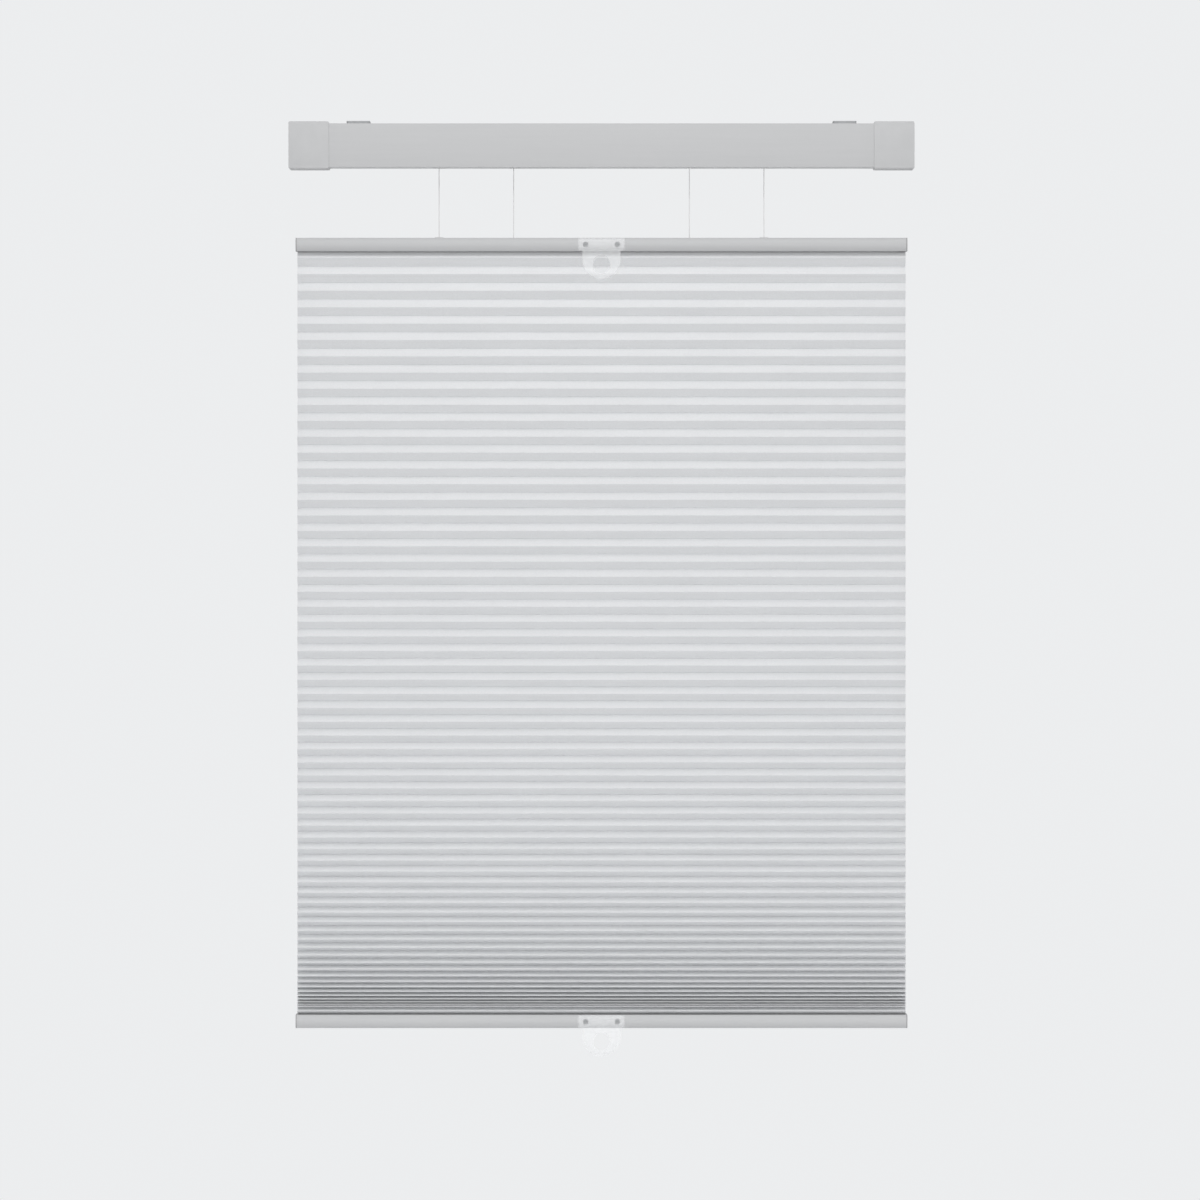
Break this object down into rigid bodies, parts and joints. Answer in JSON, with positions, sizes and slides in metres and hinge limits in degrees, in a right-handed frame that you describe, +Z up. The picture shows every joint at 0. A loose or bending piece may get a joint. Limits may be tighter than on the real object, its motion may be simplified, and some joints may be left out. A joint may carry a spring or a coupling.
{
  "type": "cellular pleated blind",
  "caption": "Cordless cellular pleated blind with a headrail, a middle rail that lowers from the top and a bottom rail that lifts, each with a clear pull handle.",
  "frame": {"origin": "centre of the plane that the mounting brackets screw to, on top of the headrail", "axes": "+Z up, +X to the viewer's right, the front faces -Y"},
  "size_m": [0.746, 0.0615, 1.1155],
  "materials": {
    "rail_metal": "satin pale-grey lacquer",
    "cap_plastic": "fine matt",
    "rail_cap_plastic": "fine matt",
    "bracket_steel": "zinc plated",
    "spring_steel": "polished strip",
    "clear_plastic": "clear, smooth",
    "screw_steel": "zinc plated",
    "cloth": "non-woven, soft matt",
    "cord": "braided",
    "rod_aluminium": "mill",
    "motor_plastic": "fine matt",
    "white_plastic": "smooth"
  },
  "bodies": {
    "headrail": {"headrail": "rail_metal", "end_cap_left": "cap_plastic", "end_cap_right": "cap_plastic", "bracket_left": "bracket_steel", "bracket_right": "bracket_steel", "latch_left": "spring_steel", "latch_right": "spring_steel", "cradle_mid_left": "white_plastic", "cradle_mid_right": "white_plastic", "cradle_low_left": "white_plastic", "cradle_low_right": "white_plastic", "bushing_mid_left": "white_plastic", "bushing_mid_right": "white_plastic", "bushing_low_left": "white_plastic", "bushing_low_right": "white_plastic", "motor_case_mid": "motor_plastic", "motor_case_low": "motor_plastic", "motor_cover_mid": "motor_plastic", "motor_cover_low": "motor_plastic", "spring_mid": "spring_steel", "spring_low": "spring_steel", "cord_mid_left": "cord", "cord_mid_right": "cord", "cord_low_left": "cord", "cord_low_right": "cord"},
    "lift_rod_mid": {"lift_rod_mid": "rod_aluminium", "spool_mid_left": "white_plastic", "spool_mid_right": "white_plastic", "drive_drum_mid": "white_plastic"},
    "storage_drum_mid": {"storage_drum_mid": "white_plastic"},
    "lift_rod_low": {"lift_rod_low": "rod_aluminium", "spool_low_left": "white_plastic", "spool_low_right": "white_plastic", "drive_drum_low": "white_plastic"},
    "storage_drum_low": {"storage_drum_low": "white_plastic"},
    "middle_rail": {"middle_rail": "rail_metal", "middle_cap_left": "rail_cap_plastic", "middle_cap_right": "rail_cap_plastic", "middle_handle": "clear_plastic", "middle_screw_left": "screw_steel", "middle_screw_right": "screw_steel", "upper_strip": "white_plastic", "grommet_left": "white_plastic", "grommet_right": "white_plastic", "anchor_mid_left": "white_plastic", "anchor_mid_right": "white_plastic", "pleated_fabric": "cloth"},
    "bottom_rail": {"bottom_rail": "rail_metal", "bottom_cap_left": "rail_cap_plastic", "bottom_cap_right": "rail_cap_plastic", "bottom_handle": "clear_plastic", "bottom_screw_left": "screw_steel", "bottom_screw_right": "screw_steel", "lower_strip": "white_plastic", "anchor_low_left": "white_plastic", "anchor_low_right": "white_plastic"}
  },
  "joints": [
    {"name": "middle_slide", "type": "slide", "parent": "headrail", "child": "middle_rail", "axis": [0, 0, 1], "range_m": [-0.4, 0.08], "deforming": ["cord_mid_left", "cord_mid_right", "pleated_fabric", "spring_mid"]},
    {"name": "bottom_slide", "type": "slide", "parent": "headrail", "child": "bottom_rail", "axis": [0, 0, 1], "range_m": [-0.055, 0.41], "deforming": ["cord_low_left", "cord_low_right", "pleated_fabric", "spring_low"]},
    {"name": "rod_mid_spin", "type": "hinge", "parent": "headrail", "child": "lift_rod_mid", "pos_m": [0, -0.0111, -0.0383], "axis": [1, 0, 0], "range_deg": [-2070, 418]},
    {"name": "storage_mid_spin", "type": "hinge", "parent": "headrail", "child": "storage_drum_mid", "pos_m": [-0.044, -0.0111, -0.0168], "axis": [1, 0, 0], "range_deg": [-418, 2070]},
    {"name": "rod_low_spin", "type": "hinge", "parent": "headrail", "child": "lift_rod_low", "pos_m": [0, 0.0111, -0.0383], "axis": [1, 0, 0], "range_deg": [-2122, 289]},
    {"name": "storage_low_spin", "type": "hinge", "parent": "headrail", "child": "storage_drum_low", "pos_m": [0.044, 0.0111, -0.0168], "axis": [1, 0, 0], "range_deg": [-289, 2122]}
  ],
  "couplings": [
    {"joint": "rod_mid_spin", "follows": "middle_slide", "rad_per_m": 90.09},
    {"joint": "storage_mid_spin", "follows": "middle_slide", "rad_per_m": -90.09},
    {"joint": "rod_low_spin", "follows": "bottom_slide", "rad_per_m": -90.09},
    {"joint": "storage_low_spin", "follows": "bottom_slide", "rad_per_m": 90.09}
  ]
}
